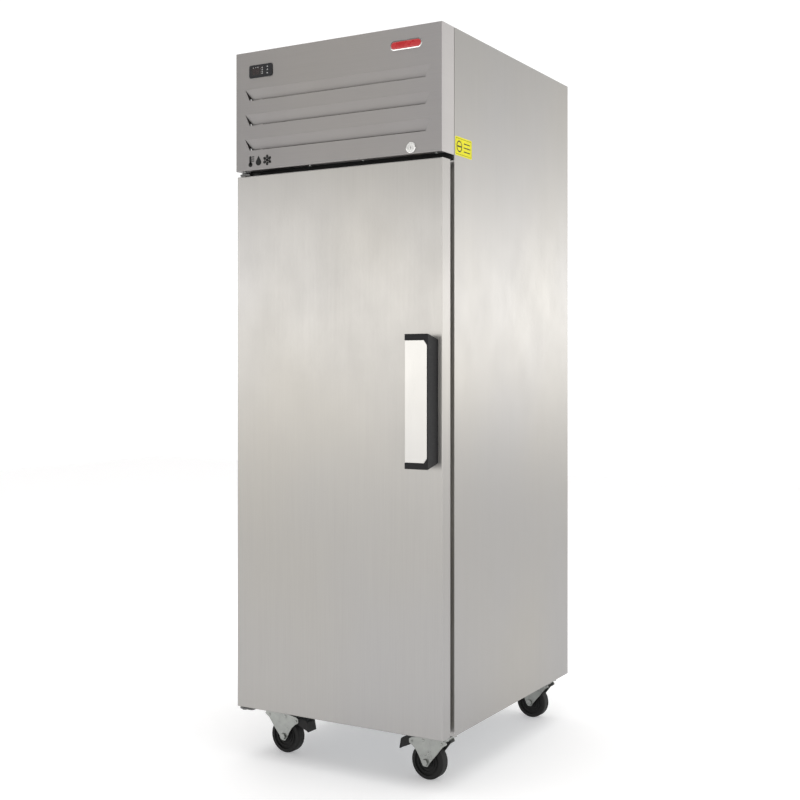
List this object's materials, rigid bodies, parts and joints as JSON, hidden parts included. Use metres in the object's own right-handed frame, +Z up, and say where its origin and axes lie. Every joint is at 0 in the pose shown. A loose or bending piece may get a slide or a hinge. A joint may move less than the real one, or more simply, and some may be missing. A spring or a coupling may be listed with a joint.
{
  "type": "reach in refrigerator",
  "caption": "Upright stainless commercial refrigerator with one solid hinged door, louvred top panel, wire shelves, top-mounted condensing unit and swivel casters.",
  "frame": {"origin": "on the floor under the middle of the whole object's bounding box, handle included", "axes": "+Z up, the door faces -Y, the door's hinges are on the -X side and its handle on the +X side"},
  "size_m": [0.686, 0.924, 2.064],
  "materials": {
    "stainless_vertical": "satin",
    "stainless_horizontal": "satin",
    "stainless_inside": "satin",
    "galvanised_steel": "satin",
    "zinc_plated": "satin",
    "hinge_steel": "satin",
    "foam": "matte",
    "trim_plastic": "matte",
    "gasket_rubber": "matte",
    "handle_black": "satin",
    "handle_bright": "satin",
    "bush_plastic": "satin",
    "controller_black": "satin",
    "display_window": "gloss",
    "key_plastic": "satin",
    "lock_chrome": "polished",
    "shelf_wire": "satin",
    "fin_aluminium": "satin",
    "motor_paint": "satin",
    "fan_aluminium": "satin",
    "fan_plastic": "satin",
    "lamp_diffuser": "satin",
    "mount_rubber": "matte",
    "copper": "satin",
    "electrical_plastic": "satin",
    "wheel_rubber": "matte",
    "pedal_black": "satin"
  },
  "bodies": {
    "cabinet": {"back_panel": "galvanised_steel", "base_frame": "galvanised_steel", "bottom_hinge_bracket": "hinge_steel", "breaker_strip": "trim_plastic", "cabinet_foam": "foam", "cabinet_liner": "stainless_inside", "caster_bolts": "zinc_plated", "caster_plates": "zinc_plated", "compressor": "motor_paint", "compressor_mounts": "mount_rubber", "condenser_coil": "fin_aluminium", "condenser_fan_motor": "motor_paint", "condenser_shroud": "galvanised_steel", "condensing_unit_base": "galvanised_steel", "controller_display": "display_window", "controller_housing": "controller_black", "cord_gland": "electrical_plastic", "door_switch_housing": "bush_plastic", "electrical_box": "electrical_plastic", "evaporator_coil": "fin_aluminium", "evaporator_cover": "stainless_inside", "evaporator_fan_motor": "motor_paint", "front_frame": "stainless_inside", "hinge_pins": "hinge_steel", "interior_lamp": "lamp_diffuser", "left_side_panel": "stainless_vertical", "lock_housing": "lock_chrome", "louver_panel": "stainless_horizontal", "louver_screws": "zinc_plated", "machine_deck": "galvanised_steel", "refrigerant_lines": "copper", "right_side_panel": "stainless_vertical", "shelf_clips": "stainless_inside", "shelf_pilasters": "stainless_inside", "top_hinge_bracket": "hinge_steel", "wire_shelves": "shelf_wire"},
    "door": {"door_skin": "stainless_vertical", "door_foam": "foam", "door_inner_panel": "stainless_inside", "door_gasket": "gasket_rubber", "handle_frame": "handle_black", "handle_plate": "handle_bright", "hinge_bushes": "bush_plastic"},
    "key_up": {"key_up": "key_plastic"},
    "key_set": {"key_set": "key_plastic"},
    "key_down": {"key_down": "key_plastic"},
    "lock_barrel": {"lock_barrel": "lock_chrome"},
    "door_switch_plunger": {"door_switch_plunger": "bush_plastic"},
    "evaporator_fan_blade": {"evaporator_fan_blade": "fan_plastic"},
    "condenser_fan_blade": {"condenser_fan_blade": "fan_aluminium"},
    "fork_front_right": {"fork_front_right": "zinc_plated"},
    "wheel_front_right": {"wheel_front_right": "wheel_rubber"},
    "brake_pedal_front_right": {"brake_pedal_front_right": "pedal_black"},
    "fork_front_left": {"fork_front_left": "zinc_plated"},
    "wheel_front_left": {"wheel_front_left": "wheel_rubber"},
    "brake_pedal_front_left": {"brake_pedal_front_left": "pedal_black"},
    "fork_rear_right": {"fork_rear_right": "zinc_plated"},
    "wheel_rear_right": {"wheel_rear_right": "wheel_rubber"},
    "fork_rear_left": {"fork_rear_left": "zinc_plated"},
    "wheel_rear_left": {"wheel_rear_left": "wheel_rubber"}
  },
  "joints": [
    {"name": "door_hinge", "type": "hinge", "parent": "cabinet", "child": "door", "pos_m": [-0.328, -0.384, 0.9255], "axis": [0, 0, -1], "range_deg": [0, 120], "stiffness_Nm_per_rad": 2},
    {"name": "door_switch", "type": "slide", "parent": "cabinet", "child": "door_switch_plunger", "axis": [0, -1, 0], "range_m": [0, 0.006]},
    {"name": "key_up_press", "type": "slide", "parent": "cabinet", "child": "key_up", "axis": [0, 1, 0], "range_m": [0, 0.0008], "stiffness_N_per_m": 400},
    {"name": "key_set_press", "type": "slide", "parent": "cabinet", "child": "key_set", "axis": [0, 1, 0], "range_m": [0, 0.0008], "stiffness_N_per_m": 400},
    {"name": "key_down_press", "type": "slide", "parent": "cabinet", "child": "key_down", "axis": [0, 1, 0], "range_m": [0, 0.0008], "stiffness_N_per_m": 400},
    {"name": "lock_turn", "type": "hinge", "parent": "cabinet", "child": "lock_barrel", "pos_m": [0.249, -0.409, 1.735], "axis": [0, 1, 0], "range_deg": [0, 90]},
    {"name": "evaporator_fan_spin", "type": "hinge", "parent": "cabinet", "child": "evaporator_fan_blade", "pos_m": [0, 0.097, 1.5709], "axis": [0, 1, 0], "continuous": true},
    {"name": "condenser_fan_spin", "type": "hinge", "parent": "cabinet", "child": "condenser_fan_blade", "pos_m": [-0.03, -0.246, 1.8304], "axis": [0, 1, 0], "continuous": true},
    {"name": "swivel_front_right", "type": "hinge", "parent": "cabinet", "child": "fork_front_right", "pos_m": [0.268, -0.289, 0.11], "axis": [0, 0, 1], "continuous": true},
    {"name": "roll_front_right", "type": "hinge", "parent": "fork_front_right", "child": "wheel_front_right", "pos_m": [0.24004, -0.28753, 0.0508], "axis": [0.0523, 0.9986, 0], "continuous": true},
    {"name": "brake_front_right", "type": "hinge", "parent": "fork_front_right", "child": "brake_pedal_front_right", "pos_m": [0.1941, -0.28513, 0.102], "axis": [-0.0523, -0.9986, 0], "range_deg": [0, 18]},
    {"name": "swivel_front_left", "type": "hinge", "parent": "cabinet", "child": "fork_front_left", "pos_m": [-0.268, -0.289, 0.11], "axis": [0, 0, 1], "continuous": true},
    {"name": "roll_front_left", "type": "hinge", "parent": "fork_front_left", "child": "wheel_front_left", "pos_m": [-0.24002, -0.28998, 0.0508], "axis": [-0.0349, -0.9994, 0], "continuous": true},
    {"name": "brake_front_left", "type": "hinge", "parent": "fork_front_left", "child": "brake_pedal_front_left", "pos_m": [-0.19404, -0.29158, 0.102], "axis": [0.0349, 0.9994, 0], "range_deg": [0, 18]},
    {"name": "swivel_rear_right", "type": "hinge", "parent": "cabinet", "child": "fork_rear_right", "pos_m": [0.268, 0.412, 0.11], "axis": [0, 0, 1], "continuous": true},
    {"name": "roll_rear_right", "type": "hinge", "parent": "fork_rear_right", "child": "wheel_rear_right", "pos_m": [0.24007, 0.41395, 0.0508], "axis": [0.0698, 0.9976, 0], "continuous": true},
    {"name": "swivel_rear_left", "type": "hinge", "parent": "cabinet", "child": "fork_rear_left", "pos_m": [-0.268, 0.412, 0.11], "axis": [0, 0, 1], "continuous": true},
    {"name": "roll_rear_left", "type": "hinge", "parent": "fork_rear_left", "child": "wheel_rear_left", "pos_m": [-0.24035, 0.40762, 0.0508], "axis": [-0.1564, -0.9877, 0], "continuous": true}
  ],
  "couplings": [
    {"joint": "door_switch", "follows": "door_hinge", "m_per_rad": 0.0028645}
  ]
}
